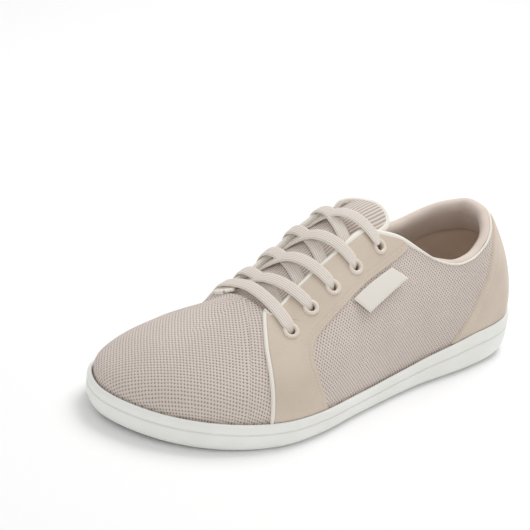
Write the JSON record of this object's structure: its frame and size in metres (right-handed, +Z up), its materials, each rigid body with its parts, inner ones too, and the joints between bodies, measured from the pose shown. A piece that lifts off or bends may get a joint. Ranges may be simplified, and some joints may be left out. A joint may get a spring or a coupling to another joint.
{
  "type": "barefoot shoe",
  "caption": "Low left barefoot shoe with a mesh upper, microfibre eyestay strips and counter, flat laces, padded collar and a thin white cup sole with hexagonal lugs.",
  "frame": {"origin": "bottom centre of the bounding box, on the plane that the sole rests on", "axes": "toe toward -X, heel toward +X, outer side of the foot toward -Y, +Z up"},
  "size_m": [0.285, 0.1153, 0.1058],
  "materials": {
    "sole_rubber": "matte off-white moulded rubber",
    "mesh_fabric": "beige-pink mesh with small staggered holes",
    "microfibre": "tan suede-like microfibre with a fine nap",
    "lining_fabric": "smooth padded lining",
    "piping_fabric": "cream woven binding",
    "insole_fabric": "brown fabric footbed cover",
    "label_fabric": "blank woven tab",
    "eyelet_metal": "pale pink-beige enamel",
    "lace_fabric": "flat ribbed beige lace"
  },
  "bodies": {
    "root": {"outsole": "sole_rubber", "insole": "insole_fabric", "upper": "mesh_fabric", "tongue": "mesh_fabric", "eyestay_outer": "microfibre", "eyestay_inner": "microfibre", "heel_counter": "microfibre", "collar_padding": "lining_fabric", "collar_piping": "piping_fabric", "throat_piping_outer": "piping_fabric", "throat_piping_inner": "piping_fabric", "strip_piping_outer": "piping_fabric", "strip_piping_inner": "piping_fabric", "label_tab": "label_fabric", "eyelet_outer_1": "eyelet_metal", "eyelet_outer_2": "eyelet_metal", "eyelet_outer_3": "eyelet_metal", "eyelet_outer_4": "eyelet_metal", "eyelet_outer_5": "eyelet_metal", "eyelet_inner_1": "eyelet_metal", "eyelet_inner_2": "eyelet_metal", "eyelet_inner_3": "eyelet_metal", "eyelet_inner_4": "eyelet_metal", "eyelet_inner_5": "eyelet_metal", "lace_bar": "lace_fabric", "lace_crossing_2": "lace_fabric", "lace_crossing_3": "lace_fabric", "lace_crossing_4": "lace_fabric", "lace_crossing_5": "lace_fabric"}
  },
  "joints": []
}
